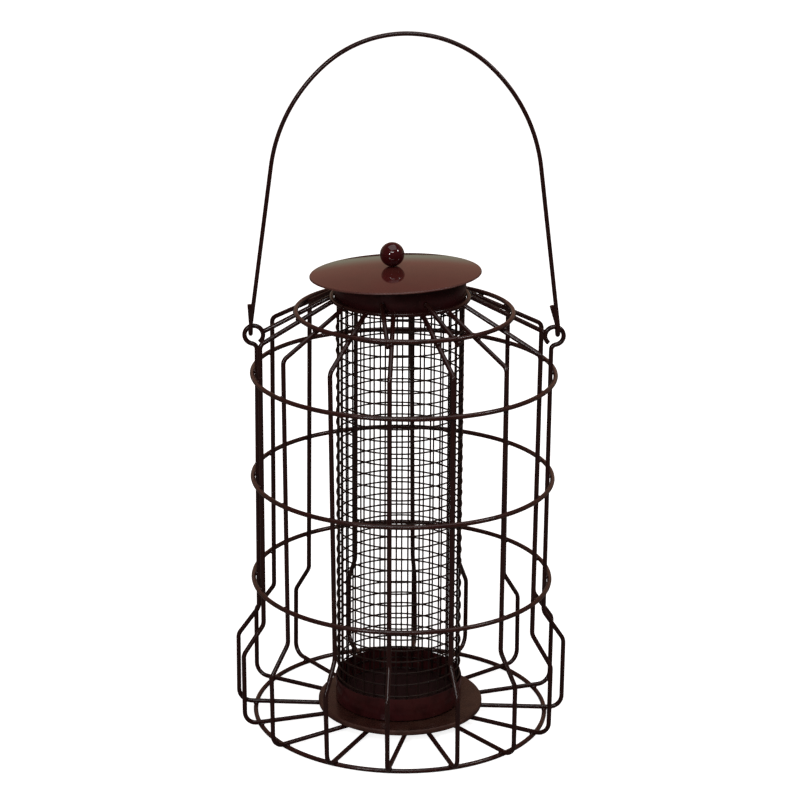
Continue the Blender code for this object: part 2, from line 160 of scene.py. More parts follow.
# Lid, knob and their fastener
LID_SHIFT = 0.0051
LID_LEAN_DEGREES = 2.55
LID_NOD_DEGREES = 1.6
LID_RADIUS = 0.0450
LID_RISE = 0.0035
LID_LIP = 0.0008
LID_EDGE_BEND = 0.0007
KNOB_RADIUS = 0.0064
KNOB_FLAT_RADIUS = 0.0024
KNOB_SHIFT = -0.0014
SKIRT_RADIUS = 0.0267
SKIRT_DEPTH = 0.0090
WASHER_THICKNESS = 0.0008
SCREW_HEAD_RADIUS = 0.0030
SCREW_HEAD_HEIGHT = 0.0018
SCREW_HEAD_BEND = 0.0006
SCREW_RECESS_WIDTH = 0.0008
SCREW_RECESS_LENGTH = 0.0034
SCREW_RECESS_DEPTH = 0.0010

# Sheet edges
PLATE_RADIUS = 0.0449
PLATE_BEND = 0.0010
CUP_BEND = 0.0010
EDGE_ROUNDING = SHEET / 4
EDGE_SEGMENTS = 2
EDGE_DEGREES = 50

# Smoothness
MERGE_DISTANCE = 0.00001
BEND_STEPS = 8
ARC_STEPS = 24
RING_STEPS = 144
RING_SIDES = 14
TURN_STEPS = 128
SCREW_STEPS = 48
WIRE_SIDES_RESOLUTION = 3
MESH_SIDES_RESOLUTION = 1
HOOP_STEPS = 72

# Paint: linear red, green and blue, and alpha
COAT = (0.0225, 0.0044, 0.0038, 1)
COAT_BROWN = (0.0245, 0.0064, 0.0048, 1)
COAT_DEEP = (0.0115, 0.0030, 0.0028, 1)
# The rings' coat is a lighter copy of the wire coat: painted highlight on the rings' lit tops and
# fronts
RING_PAINTED_HIGHLIGHT_COAT = (0.0370, 0.0084, 0.0066, 1)
RING_PAINTED_HIGHLIGHT_BROWN = (0.0400, 0.0132, 0.0094, 1)
COLLAR_COAT = (0.0320, 0.0052, 0.0066, 1)
COLLAR_BROWN = (0.0300, 0.0064, 0.0066, 1)
CUP_COAT = (0.0540, 0.0098, 0.0116, 1)
CUP_BROWN = (0.0500, 0.0118, 0.0112, 1)
MESH_COAT = (0.0150, 0.0060, 0.0052, 1)
MESH_BROWN = (0.0210, 0.0110, 0.0085, 1)
LID_COAT = (0.0740, 0.0090, 0.0100, 1)
LID_BROWN = (0.0680, 0.0150, 0.0120, 1)
LID_DEEP = (0.0540, 0.0070, 0.0080, 1)
KNOB_COAT = (0.0620, 0.0050, 0.0060, 1)
KNOB_DEEP = (0.0300, 0.0025, 0.0035, 1)
PLATE_COAT = (0.0380, 0.0115, 0.0088, 1)
PLATE_BROWN = (0.0400, 0.0170, 0.0115, 1)
WORN_EDGE = (0.1500, 0.0700, 0.0520, 1)
DUST = (0.1500, 0.1100, 0.0900, 1)
# Painted shade: a dark colour laid on the cup's up-facing inside, where the lid keeps the overhead
# light off
CUP_PAINTED_SHADE = (0.0260, 0.0095, 0.0095, 1)
STEEL = (0.4800, 0.4800, 0.4900, 1)
STEEL_DULL = (0.3000, 0.2900, 0.2850, 1)

# Patterns in the paint: scale and detail of the noise, and the range of it that the pattern spans
PATCHES = (38, 3, 0.35, 0.65)
POOLS = (130, 2, 0.45, 0.75)
POOLS_SHARE = 0.7
CHIPS = (640, 2, 0.735, 0.765)
CHIPS_SHARE = 0.75
RUBBING = (95, 3, 0.35, 0.65)
RUBBING_SHARES = (0.25, 1.0)
SHEEN = (170, 3, 0.3, 0.7)
SHEEN_SHARES = (0.8, 1.25)

# Dust on what faces up, and painted shade on the up-facing inside of the cup
DUST_AND_SHADE_NOISE = (260, 4)
DUST_RANGE = (0.40, 0.72)
CUP_PAINTED_SHADE_RANGE = (0.15, 0.45)
DUST_AND_SHADE_FACING = (0.3, 1.0)
DUST_AND_SHADE_DULLING = 1.5

# Thin paint at a sheet's rim
RIM_WIDTH = 0.0009
RIM_SHARE = 0.55
RIM_DULLING = 0.8

# Orange peel: scale and detail of a fine and a wide noise, and the depth of each
PEEL_NOISE = (900, 2)
PEEL_DEPTH = 0.00008
WIDE_PEEL_NOISE = (210, 2)
WIDE_PEEL_DEPTH = 0.00022
WIDE_PEEL_SHARE = 0.7

# Zinc-plated steel and the lines that turning left on it
STEEL_PATCHES = (420, 3, 0.35, 0.7)
STEEL_LINES = (900, 2, (1, 1, 8))
STEEL_LINES_RANGE = (0.3, 0.7)
STEEL_ROUGHNESS = (0.28, 0.5)
STEEL_LINES_STRENGTH = 0.12
STEEL_LINES_DEPTH = 0.00004

# Camera, in millimetres and radians
CAMERA_PLACE = (-34.4, -1230.6, 577.2)
CAMERA_YAW = 0.02598
CAMERA_DROP = 0.312482
CAMERA_ROLL = 0.010960
CAMERA_LENS = 110.16
CAMERA_SENSOR = 36.0
MILLIMETRES_PER_METRE = 1000

# Camera clipping, in metres
CAMERA_CLIP = (0.05, 50)

# Stage: the floor and sky look white, but light the feeder like a dim room with a paler wall
# behind it
FLOOR_RADIUS = 9.0
FLOOR_SIDES = 96
FLOOR_GLOW_NEAR = 0.86
FLOOR_GLOW_FAR = 1.0
FLOOR_GLOW_REACH = (0.15, 0.60)
FLOOR_WHITE = (0.80, 0.80, 0.80, 1)
FLOOR_DIM = (0.215, 0.165, 0.150, 1)
FLOOR_DIM_ROUGHNESS = 0.9
SKY_WHITE = (1.0, 1.0, 1.0, 1)
ROOM_COLOUR = (0.078, 0.057, 0.053, 1)
WALL_LOW_COLOUR = (0.36, 0.36, 0.27, 1)
WALL_HIGH_COLOUR = (0.37, 0.205, 0.150, 1)
WALL_TURN = (0.03, 0.15)
WALL_TOP = (0.50, 0.75)
WALL_SIDES = (-0.2, 0.9)

# Lights: name, direction from the feeder, distance, size across and up, power
LIGHT_TARGET = (0, 0, 0.15)
LIGHTS = (
    ("overhead", (0.05, -0.10, 1.0), 1.6, (1.6, 1.6), 10.0),
    ("front_strip", (-0.03, -0.780, 0.625), 1.3, (0.60, 0.12), 2.8),
    ("left_lamp", (-0.424, -0.832, 0.358), 1.3, (0.16, 0.22), 3.2),
    ("right_lamp", (0.720, -0.250, 0.643), 1.3, (0.18, 0.20), 2.6),
)

# The three large rings of the cage
CAGE_RINGS = ("lower_ring", "middle_ring", "upper_ring")

# Sockets of a Mix node that mixes two colours
MIX_INPUTS = (6, 7)
MIX_RESULT = 2

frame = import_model()


def ring_place(node):
    """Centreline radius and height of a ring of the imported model."""
    low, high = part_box(node)
    return (high.x - low.x) / 2 - WIRE_RADIUS, (low.z + high.z) / 2


RING_RADIUS = ring_place("upper_ring")[0]
SHOULDER_RING_RADIUS, SHOULDER_RING_HEIGHT = ring_place("shoulder_ring")
NECK_HOOP_RADIUS, NECK_HOOP_HEIGHT = ring_place("neck_hoop")
BASE_RING_RADIUS, BASE_RING_HEIGHT = ring_place("base_ring")
UPRIGHT_RADIUS = RING_RADIUS - WIRE_STEP
FLARE_RADIUS = UPRIGHT_RADIUS + FLARE_REACH - WIRE_SWELL
NECK_SLOPE = math.atan2(NECK_RISE, UPRIGHT_RADIUS - NECK_HOOP_RADIUS)
SPOKE_HEIGHT = BASE_RING_HEIGHT + WIRE_STEP
SLOPE_HEAD_RADIUS = NECK_HOOP_RADIUS + (WIRE_RADIUS + JOINT_GAP) * math.cos(NECK_SLOPE)
EYE_CENTRE_RADIUS = UPRIGHT_RADIUS + EYE_REACH
HINGE_HEIGHT = SHOULDER_HEIGHT + EYE_RADIUS
HOOK_RADIUS = 2 * WIRE_RADIUS + HOOK_CLEARANCE
HOOK_REACH = EYE_CENTRE_RADIUS + EYE_RADIUS - 2 * WIRE_RADIUS - HOOK_SIDE_CLEARANCE
SPOKE_END_RADIUS = PLATE_RADIUS - SPOKE_OVERLAP
CORE_TURN = Euler((0, -math.radians(CORE_LEAN_DEGREES), 0)).to_matrix().to_4x4()
CORE_PLACE = Matrix.Translation((CORE_SHIFT, 0, 0)) @ CORE_TURN


def polar(radius, angle, height):
    """The point at a distance from the Z axis, an angle round it and a height."""
    return Vector((radius * math.cos(angle), radius * math.sin(angle), height))


def arc_points(centre, radius, start, end, steps):
    """Points of an arc in the plane, as 2D vectors, from one angle to the other."""
    turns = [start + (end - start) * step / steps for step in range(steps + 1)]
    return [centre + radius * Vector((math.cos(turn), math.sin(turn))) for turn in turns]


def bent_path(corners, bends):
    """The centreline of a bent wire: straight runs, with an arc at each inner corner."""
    points = [corners[0]]
    for index, bend in enumerate(bends, start=1):
        corner = corners[index]
        incoming = (corner - corners[index - 1]).normalized()
        outgoing = (corners[index + 1] - corner).normalized()
        turn = incoming.angle(outgoing)
        inward = (outgoing - incoming * incoming.dot(outgoing)).normalized()
        start = corner - incoming * bend * math.tan(turn / 2)
        centre = start + inward * bend
        for step in range(BEND_STEPS + 1):
            angle = turn * step / BEND_STEPS
            back = inward * bend * math.cos(angle)
            points.append(centre - back + incoming * bend * math.sin(angle))
    points.append(corners[-1])
    return points


def round_cage(points, degrees):
    """Places a wire's (radius, height) points at its angles.

    It stands at its shoulder angle, leans to its foot angle and ends at its spoke angle.
    """
    shoulder, foot, spoke = (math.radians(angle) for angle in degrees)
    lean_top = SHOULDER_HEIGHT - RING_MARGIN
    placed = []
    for point in points:
        lean = min(1, max(0, (lean_top - point.y) / (lean_top - SPOKE_HEIGHT)))
        placed.append(polar(point.x, shoulder + (foot - shoulder) * lean, point.y))
    placed[-1] = polar(points[-1].x, spoke, points[-1].y)
    return placed


def slope_height(radius):
    """Height of the neck slope at a radius."""
    return SHOULDER_HEIGHT + (UPRIGHT_RADIUS - radius) * math.tan(NECK_SLOPE)


def foot_corners():
    """Corners of a wire from the knee to the end of its spoke, as (radius, height)."""
    return [
        Vector((UPRIGHT_RADIUS, KNEE_HEIGHT)),
        Vector((FLARE_RADIUS, KNEE_HEIGHT - FLARE_DROP)),
        Vector((FLARE_RADIUS, SPOKE_HEIGHT)),
        Vector((SPOKE_END_RADIUS, SPOKE_HEIGHT)),
    ]


def cage_wire_path():
    """A plain cage wire from the neck hoop to the end of its spoke, as (radius, height)."""
    corners = [
        Vector((SLOPE_HEAD_RADIUS, slope_height(SLOPE_HEAD_RADIUS))),
        Vector((UPRIGHT_RADIUS, SHOULDER_HEIGHT)),
        *foot_corners(),
    ]
    return bent_path(corners, (SHOULDER_BEND, KNEE_BEND, KNEE_BEND, FOOT_BEND))


def eye_wire_path():
    """A wire whose top turns out and curls into an eye, from the eye's free end to the spoke."""
    join = math.radians(EYE_JOIN_DEGREES)
    turn = math.pi / 2 - join
    centre = Vector((EYE_CENTRE_RADIUS, SHOULDER_HEIGHT))
    joined = centre + EYE_RADIUS * Vector((math.sin(join), -math.cos(join)))
    bend = (joined.x - UPRIGHT_RADIUS) / (1 - math.cos(turn))
    bend_centre = Vector((UPRIGHT_RADIUS + bend, joined.y - bend * math.sin(turn)))
    loop_end = math.pi + math.radians(EYE_END_DEGREES)
    loop = arc_points(centre, EYE_RADIUS, join - math.pi / 2, loop_end, ARC_STEPS)
    neck = arc_points(bend_centre, bend, math.pi, math.pi - turn, BEND_STEPS)
    upright = bent_path([neck[0], *foot_corners()], (KNEE_BEND, KNEE_BEND, FOOT_BEND))
    return loop[:0:-1] + neck[:0:-1] + upright


def new_object(name, data):
    """An object of the scene that shows the data."""
    piece = bpy.data.objects.new(name, data)
    bpy.context.scene.collection.objects.link(piece)
    return piece


def wires(name, paths, radius, resolution=WIRE_SIDES_RESOLUTION):
    """One piece of round wires, each along its own path, with closed ends."""
    curve = bpy.data.curves.new(name, "CURVE")
    curve.dimensions = "3D"
    curve.bevel_depth = radius
    curve.bevel_resolution = resolution
    curve.use_fill_caps = True
    for path in paths:
        spline = curve.splines.new("POLY")
        spline.points.add(len(path) - 1)
        for slot, point in zip(spline.points, path):
            slot.co = (*point, 1)
    return new_object(name, curve)


def turned(name, profile, thickness=0, steps=TURN_STEPS):
    """A profile of (radius, height) points turned about Z.

    A thickness makes it a sheet: the profile is its outer face, thickened inwards.
    """
    mesh = bpy.data.meshes.new(name)
    edges = [(index, index + 1) for index in range(len(profile) - 1)]
    mesh.from_pydata([(radius, 0, height) for radius, height in profile], edges, [])
    piece = new_object(name, mesh)
    screw = piece.modifiers.new("Turn", "SCREW")
    screw.steps = steps
    screw.render_steps = steps
    screw.use_merge_vertices = True
    screw.merge_threshold = MERGE_DISTANCE
    screw.use_smooth_shade = True
    if thickness:
        shell = piece.modifiers.new("Sheet", "SOLIDIFY")
        shell.thickness = thickness
        shell.offset = -1
        shell.use_even_offset = True
    edge = piece.modifiers.new("Edge", "BEVEL")
    edge.width = EDGE_ROUNDING
    edge.segments = EDGE_SEGMENTS
    edge.limit_method = "ANGLE"
    edge.angle_limit = math.radians(EDGE_DEGREES)
    return piece


def dress(piece, body, slot, material, *nodes):
    """Gives a piece its material and body, and lets it stand for its CAD nodes. The slot is not
    used.
    """
    piece.data.materials.clear()
    piece.data.materials.append(material)
    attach(piece, body)
    if nodes:
        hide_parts(*nodes)


def torus(name, radius, height):
    """A ring of cage wire about Z."""
    bpy.ops.mesh.primitive_torus_add(
        major_radius=radius,
        minor_radius=FINE_WIRE_RADIUS,
        major_segments=RING_STEPS,
        minor_segments=RING_SIDES,
        location=(0, 0, height),
    )
    ring = bpy.context.object
    ring.name = name
    ring.data.shade_smooth()
    return ring


# Materials


def new_material(name):
    """A material and its node tree."""
    material = bpy.data.materials.new(name)
    material.use_nodes = True
    return material, material.node_tree


def shader_of(tree):
    """The shader that every new material starts with."""
    return tree.nodes["Principled BSDF"]


def noise(tree, scale, detail=2.0, stretch=(1, 1, 1)):
    """A noise value in the piece's own space. The scale is in features a metre."""
    place = tree.nodes.new("ShaderNodeTexCoord")
    mapping = tree.nodes.new("ShaderNodeMapping")
    mapping.inputs["Scale"].default_value = stretch
    texture = tree.nodes.new("ShaderNodeTexNoise")
    texture.inputs["Scale"].default_value = scale
    texture.inputs["Detail"].default_value = detail
    tree.links.new(place.outputs["Object"], mapping.inputs["Vector"])
    tree.links.new(mapping.outputs["Vector"], texture.inputs["Vector"])
    return texture.outputs["Fac"]


def spread(tree, value, from_low, from_high, to_low, to_high):
    """The value with one range turned into another, and held to it."""
    node = tree.nodes.new("ShaderNodeMapRange")
    node.inputs["From Min"].default_value = from_low
    node.inputs["From Max"].default_value = from_high
    node.inputs["To Min"].default_value = to_low
    node.inputs["To Max"].default_value = to_high
    tree.links.new(value, node.inputs["Value"])
    return node.outputs["Result"]


def pattern(tree, scale, detail, low, high, least=0.0, most=1.0):
    """A noise whose range from low to high runs from least to most."""
    return spread(tree, noise(tree, scale, detail), low, high, least, most)


def arithmetic(tree, operation, first, second):
    """A Math node on two values, each a number or another node's output."""
    node = tree.nodes.new("ShaderNodeMath")
    node.operation = operation
    for socket, value in zip(node.inputs, (first, second)):
        if isinstance(value, (int, float)):
            socket.default_value = value
        else:
            tree.links.new(value, socket)
    return node.outputs["Value"]


def colour_mix(tree, share, first, second):
    """The first colour with a share of the second, each a tuple or another node's output."""
    node = tree.nodes.new("ShaderNodeMix")
    node.data_type = "RGBA"
    tree.links.new(share, node.inputs["Factor"])
    for number, colour in zip(MIX_INPUTS, (first, second)):
        socket = node.inputs[number]
        if isinstance(colour, tuple):
            socket.default_value = colour
        else:
            tree.links.new(colour, socket)
    return node.outputs[MIX_RESULT]


def upward(tree):
    """How far the surface faces up in the piece's own space, from 0 to 1."""
    place = tree.nodes.new("ShaderNodeTexCoord")
    parts = tree.nodes.new("ShaderNodeSeparateXYZ")
    tree.links.new(place.outputs["Normal"], parts.inputs["Vector"])
    return spread(tree, parts.outputs["Z"], *DUST_AND_SHADE_FACING, 0.0, 1.0)


def from_axis(tree):
    """Distance from the piece's own Z axis."""
    place = tree.nodes.new("ShaderNodeTexCoord")
    flat = tree.nodes.new("ShaderNodeVectorMath")
    flat.operation = "MULTIPLY"
    flat.inputs[1].default_value = (1, 1, 0)
    length = tree.nodes.new("ShaderNodeVectorMath")
    length.operation = "LENGTH"
    tree.links.new(place.outputs["Object"], flat.inputs[0])
    tree.links.new(flat.outputs["Vector"], length.inputs[0])
    return length.outputs["Value"]


def bump(tree, heights):
    """Stacks bumps, each a (height value, strength, distance) triple, into the shader's normal."""
    last = None
    for height, strength, distance in heights:
        node = tree.nodes.new("ShaderNodeBump")
        node.inputs["Strength"].default_value = strength
        node.inputs["Distance"].default_value = distance
        tree.links.new(height, node.inputs["Height"])
        if last:
            tree.links.new(last, node.inputs["Normal"])
        last = node.outputs["Normal"]
    tree.links.new(last, shader_of(tree).inputs["Normal"])


def paint(
    name, main, brown, deep, roughness, specular, peel, dust_and_shade,
    dust_and_shade_colour=DUST, dust_and_shade_range=DUST_RANGE, worn_radius=None,
):
    """Enamel over wire or sheet: patchy colour, orange peel, tiny chips and a light dusting on what
    faces up. Given a dark colour in its place, the same mask is painted shade.

    The paint gets thin and dull at a worn radius.
    """
    material, tree = new_material(name)
    shader = shader_of(tree)
    shader.inputs["Specular IOR Level"].default_value = specular
    patches = pattern(tree, *PATCHES)
    pools = pattern(tree, *POOLS, most=POOLS_SHARE)
    colour = colour_mix(tree, patches, main, brown)
    colour = colour_mix(tree, pools, colour, deep)
    chips = pattern(tree, *CHIPS, most=CHIPS_SHARE)
    colour = colour_mix(tree, chips, colour, WORN_EDGE)
    # Dust on what faces up; where a dark colour is given in place of dust's, this is painted shade
    facing = upward(tree)
    dust_and_shade_grains = pattern(tree, *DUST_AND_SHADE_NOISE, *dust_and_shade_range, most=dust_and_shade)
    dust_and_painted_shade = arithmetic(tree, "MULTIPLY", facing, dust_and_shade_grains)
    colour = colour_mix(tree, dust_and_painted_shade, colour, dust_and_shade_colour)
    if worn_radius:
        rim = spread(tree, from_axis(tree), worn_radius - RIM_WIDTH, worn_radius, 0.0, RIM_SHARE)
        rubbed = arithmetic(tree, "MULTIPLY", rim, pattern(tree, *RUBBING, *RUBBING_SHARES))
        colour = colour_mix(tree, rubbed, colour, WORN_EDGE)
    tree.links.new(colour, shader.inputs["Base Color"])
    sheen = pattern(tree, *SHEEN, *(roughness * share for share in SHEEN_SHARES))
    dulled = arithmetic(tree, "MULTIPLY", dust_and_painted_shade, DUST_AND_SHADE_DULLING)
    rough = arithmetic(tree, "ADD", sheen, dulled)
    if worn_radius:
        dulled = arithmetic(tree, "MULTIPLY", rim, RIM_DULLING)
        rough = arithmetic(tree, "ADD", rough, dulled)
    tree.links.new(rough, shader.inputs["Roughness"])
    fine = noise(tree, *PEEL_NOISE)
    wide = noise(tree, *WIDE_PEEL_NOISE)
    bump(tree, ((fine, peel, PEEL_DEPTH), (wide, peel * WIDE_PEEL_SHARE, WIDE_PEEL_DEPTH)))
    return material


def bare_steel(name):
    """Zinc-plated steel: dull patches and fine turned lines."""
    material, tree = new_material(name)
    shader = shader_of(tree)
    shader.inputs["Metallic"].default_value = 1.0
    patches = pattern(tree, *STEEL_PATCHES)
    tree.links.new(colour_mix(tree, patches, STEEL, STEEL_DULL), shader.inputs["Base Color"])
    lines = noise(tree, *STEEL_LINES)
    rough = spread(tree, lines, *STEEL_LINES_RANGE, *STEEL_ROUGHNESS)
    tree.links.new(rough, shader.inputs["Roughness"])
    bump(tree, ((lines, STEEL_LINES_STRENGTH, STEEL_LINES_DEPTH),))
    return material


def seen_or_not(tree, seen, unseen, output):
    """Sends one shader to the camera's own rays and another to the rays that light the feeder."""
    rays = tree.nodes.new("ShaderNodeLightPath")
    mix = tree.nodes.new("ShaderNodeMixShader")
    tree.links.new(rays.outputs["Is Camera Ray"], mix.inputs["Fac"])
    tree.links.new(unseen, mix.inputs[1])
    tree.links.new(seen, mix.inputs[2])
    tree.links.new(mix.outputs["Shader"], tree.nodes[output].inputs["Surface"])


def floor_material():
    """White paper that glows, so that shadows stay faint, and dim in the feeder's reflections."""
    material, tree = new_material("studio_floor")
    dim = shader_of(tree)
    dim.inputs["Base Color"].default_value = FLOOR_DIM
    dim.inputs["Roughness"].default_value = FLOOR_DIM_ROUGHNESS
    white = tree.nodes.new("ShaderNodeBsdfPrincipled")
    white.inputs["Base Color"].default_value = FLOOR_WHITE
    white.inputs["Roughness"].default_value = 1.0
    white.inputs["Specular IOR Level"].default_value = 0.0
    white.inputs["Emission Color"].default_value = SKY_WHITE
    glow = spread(tree, from_axis(tree), *FLOOR_GLOW_REACH, FLOOR_GLOW_NEAR, FLOOR_GLOW_FAR)
    tree.links.new(glow, white.inputs["Emission Strength"])
    seen_or_not(tree, white.outputs["BSDF"], dim.outputs["BSDF"], "Material Output")
    return material


MATERIALS = {
    "coat": paint(
        "burgundy_enamel", COAT, COAT_BROWN, COAT_DEEP,
        roughness=0.22, specular=0.38, peel=0.18, dust_and_shade=0.02,
    ),
    # A lighter copy of the wire coat for the rings: painted highlight
    "ring": paint(
        "burgundy_enamel_painted_ring_highlight", RING_PAINTED_HIGHLIGHT_COAT, RING_PAINTED_HIGHLIGHT_BROWN, COAT_DEEP,
        roughness=0.22, specular=0.42, peel=0.18, dust_and_shade=0.02,
    ),
    "mesh": paint(
        "dark_mesh_enamel", MESH_COAT, MESH_BROWN, COAT_DEEP,
        roughness=0.42, specular=0.20, peel=0.30, dust_and_shade=0.01,
    ),
    "plate": paint(
        "plate_enamel", PLATE_COAT, PLATE_BROWN, COAT_DEEP,
        roughness=0.24, specular=0.22, peel=0.20, dust_and_shade=0.04, worn_radius=PLATE_RADIUS,
    ),
    "collar": paint(
        "collar_enamel", COLLAR_COAT, COLLAR_BROWN, COAT_DEEP,
        roughness=0.22, specular=0.25, peel=0.12, dust_and_shade=0.02,
    ),
    # The cup's up-facing inside gets a dark, dull colour all over it: painted shade
    "cup": paint(
        "cup_enamel", CUP_COAT, CUP_BROWN, COAT_DEEP,
        roughness=0.12, specular=0.15, peel=0.08, dust_and_shade=1.0,
        dust_and_shade_colour=CUP_PAINTED_SHADE, dust_and_shade_range=CUP_PAINTED_SHADE_RANGE,
    ),
    "lid": paint(
        "lid_enamel", LID_COAT, LID_BROWN, LID_DEEP,
        roughness=0.06, specular=0.50, peel=0.03, dust_and_shade=0.02, worn_radius=LID_RADIUS,
    ),
    "knob": paint(
        "knob_gloss", KNOB_COAT, KNOB_DEEP, KNOB_DEEP,
        roughness=0.05, specular=0.55, peel=0.015, dust_and_shade=0.01,
    ),
    "steel": bare_steel("zinc_steel"),
}


# Cage


def weld_piece(name, places):
    """Small rounded nuggets, one at each (point, reach, direction).

    The reach is half the nugget's length along the direction.
    """
    nuggets = bmesh.new()
    for point, reach, direction in places:
        turn = direction.to_track_quat("X", "Z").to_matrix().to_4x4()
        size = Matrix.Diagonal((reach, WELD_RADIUS, WELD_RADIUS * WELD_FLATTENING, 1))
        place = Matrix.Translation(point) @ turn @ size
        bmesh.ops.create_icosphere(
            nuggets, subdivisions=WELD_SUBDIVISIONS, radius=1, matrix=place
        )
    for face in nuggets.faces:
        face.smooth = True
    mesh = bpy.data.meshes.new(name)
    nuggets.to_mesh(mesh)
    nuggets.free()
    return new_object(name, mesh)


def at_radius(start, end, radius):
    """The point of a straight run that lies at a radius from the cage's axis."""
    near, far = start.xy.length, end.xy.length
    return start.lerp(end, (radius - near) / (far - near))


def at_height(path, height):
    """The point where an upright passes a height."""
    for first, second in zip(path, path[1:]):
        low, high = sorted((first.z, second.z))
        if low <= height <= high and low != high:
            return first.lerp(second, (height - first.z) / (second.z - first.z))
    return path[0]


def outward(point):
    """The level direction from the cage's axis to a point."""
    return Vector((point.x, point.y, 0)).normalized()


def ring_welds(path):
    """Where one wire is welded to the three cage rings, the base ring and the plate."""
    places = []
    highest = max(range(len(path)), key=lambda index: path[index].z)
    for node in CAGE_RINGS:
        crossing = at_height(path[highest:], ring_place(node)[1])
        away = outward(crossing)
        places.append((crossing + away * WIRE_STEP / 2, WELD_RADIUS, away))
    spoke = path[-2], path[-1]
    under = at_radius(*spoke, BASE_RING_RADIUS) - Vector((0, 0, WIRE_STEP / 2))
    places.append((under, WELD_RADIUS, outward(under)))
    over = at_radius(*spoke, PLATE_RADIUS - PLATE_WELD_LENGTH) + Vector((0, 0, WIRE_RADIUS))
    places.append((over, PLATE_WELD_LENGTH / 2, outward(over)))
    return places


def slope_welds(head, foot):
    """Where one slope wire is welded to the neck hoop and, if it gets there, the shoulder ring."""
    lift = Vector((0, 0, WIRE_STEP / 2 / math.cos(NECK_SLOPE)))
    away = outward(head)
    places = [(head - away * JOINT_GAP, WELD_RADIUS, away)]
    if foot.xy.length > SHOULDER_RING_RADIUS:
        places.append((at_radius(head, foot, SHOULDER_RING_RADIUS) + lift, WELD_RADIUS, away))
    return places


def fine_wire(node, path):
    """The round wire that stands for a straight or bent wire of the cage."""
    piece = wires(f"fine_{node}", [path], FINE_WIRE_RADIUS)
    dress(piece, "cage", "cage_wire", MATERIALS["coat"], node)


def build_cage_wires():
    """The plain wires and the two with an eye. Every builder of wires gives back their welds."""
    welds = []
    for number, degrees in enumerate(CAGE_WIRE_DEGREES, start=1):
        path = round_cage(cage_wire_path(), degrees)
        path[0] = CORE_PLACE @ path[0]
        fine_wire(f"cage_wire_{number:02d}", path)
        welds += ring_welds(path) + slope_welds(path[0], path[1])
    for node, degrees in EYE_WIRE_DEGREES.items():
        path = round_cage(eye_wire_path(), degrees)
        fine_wire(node, path)
        welds += ring_welds(path[ARC_STEPS:])
    return welds


def build_eye_braces():
    """Slope wires from the neck hoop to the inner side of each eye."""
    welds = []
    head = Vector((SLOPE_HEAD_RADIUS, slope_height(SLOPE_HEAD_RADIUS)))
    centre = Vector((EYE_CENTRE_RADIUS, SHOULDER_HEIGHT))
    along = Vector((math.cos(NECK_SLOPE), -math.sin(NECK_SLOPE)))
    reach = (centre - head).dot(along)
    aside = (centre - head - along * reach).length
    clearance = EYE_RADIUS + WIRE_RADIUS + JOINT_GAP
    end = head + along * (reach - math.sqrt(clearance**2 - aside**2))
    for node, side in (("eye_brace_right", 1), ("eye_brace_left", -1)):
        top = CORE_PLACE @ Vector((side * head.x, 0, head.y))
        bottom = Vector((side * end.x, 0, end.y))
        fine_wire(node, [top, bottom])
        welds += slope_welds(top, bottom)
        welds.append((bottom, WELD_RADIUS, (bottom - top).normalized()))
    return welds


def build_rings():
    """Every ring about the cage's axis. The neck hoop stands as the tube does."""
    for node in (*CAGE_RINGS, "shoulder_ring", "neck_hoop", "base_ring"):
        radius, height = ring_place(node)
        height = max(height, FINE_WIRE_RADIUS)
        ring = torus(f"fine_{node}", radius, height)
        # The large rings, shoulder ring and base ring take the lighter ring coat, a painted
        # highlight; the neck hoop keeps the wire coat
        material = "ring"
        if node == "neck_hoop":
            ring.matrix_world = CORE_PLACE @ Matrix.Translation((0, 0, height))
            material = "coat"
        dress(ring, "cage", "cage_ring", MATERIALS[material], node)


def build_neck_struts():
    """Straight wires that touch the shoulder ring from below."""
    welds = []
    head = Vector((NECK_HOOP_RADIUS, NECK_HOOP_HEIGHT + WIRE_STEP + STRUT_RISE))
    span = Vector((SHOULDER_RING_RADIUS, SHOULDER_RING_HEIGHT)) - head
    fall = math.atan2(-span.y, span.x) + math.asin(WIRE_STEP / span.length)
    foot = head + (span.x + STRUT_OVERHANG) * Vector((1, -math.tan(fall)))
    for number, degrees in enumerate(STRUT_FOOT_DEGREES, start=1):
        top = CORE_PLACE @ polar(head.x, math.radians(degrees - STRUT_TURN_DEGREES), head.y)
        bottom = polar(foot.x, math.radians(degrees), foot.y)
        fine_wire(f"neck_strut_{number}", [top, bottom])
        welds.append((top - outward(top) * WIRE_RADIUS / 2, WELD_RADIUS, outward(top)))
        welds.append((bottom + Vector((0, 0, WIRE_STEP / 2)), WELD_RADIUS, outward(bottom)))
    return welds


def build_cage():
    build_rings()
    welds = build_cage_wires() + build_eye_braces() + build_neck_struts()
    dress(weld_piece("cage_welds", welds), "cage", "cage_wire", MATERIALS["coat"])


# Base plate, cup, collar and seed tube


def quarter(corner, radius, start, end):
    """A sheet bend inside a corner of a profile."""
    return [tuple(point) for point in arc_points(Vector(corner), radius, start, end, BEND_STEPS)]


def build_base_plate():
    low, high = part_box("base_plate")
    corner = (PLATE_RADIUS - PLATE_BEND, high.z - PLATE_BEND)
    bend = quarter(corner, PLATE_BEND, math.pi / 2, 0)
    piece = turned("fine_base_plate", [(0, high.z), *bend, (PLATE_RADIUS, low.z)], SHEET)
    dress(piece, "cage", "base_plate", MATERIALS["plate"], "base_plate")


def build_base_cup():
    low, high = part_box("base_cup")
    bend = quarter((high.x - CUP_BEND, low.z + CUP_BEND), CUP_BEND, 0, -math.pi / 2)
    profile = [(high.x, high.z + CUP_RISE), *bend, (0, low.z)]
    piece = turned("fine_base_cup", profile, CORE_SHEET)
    piece.matrix_world = CORE_PLACE
    dress(piece, "cage", "base_cup", MATERIALS["cup"], "base_cup")


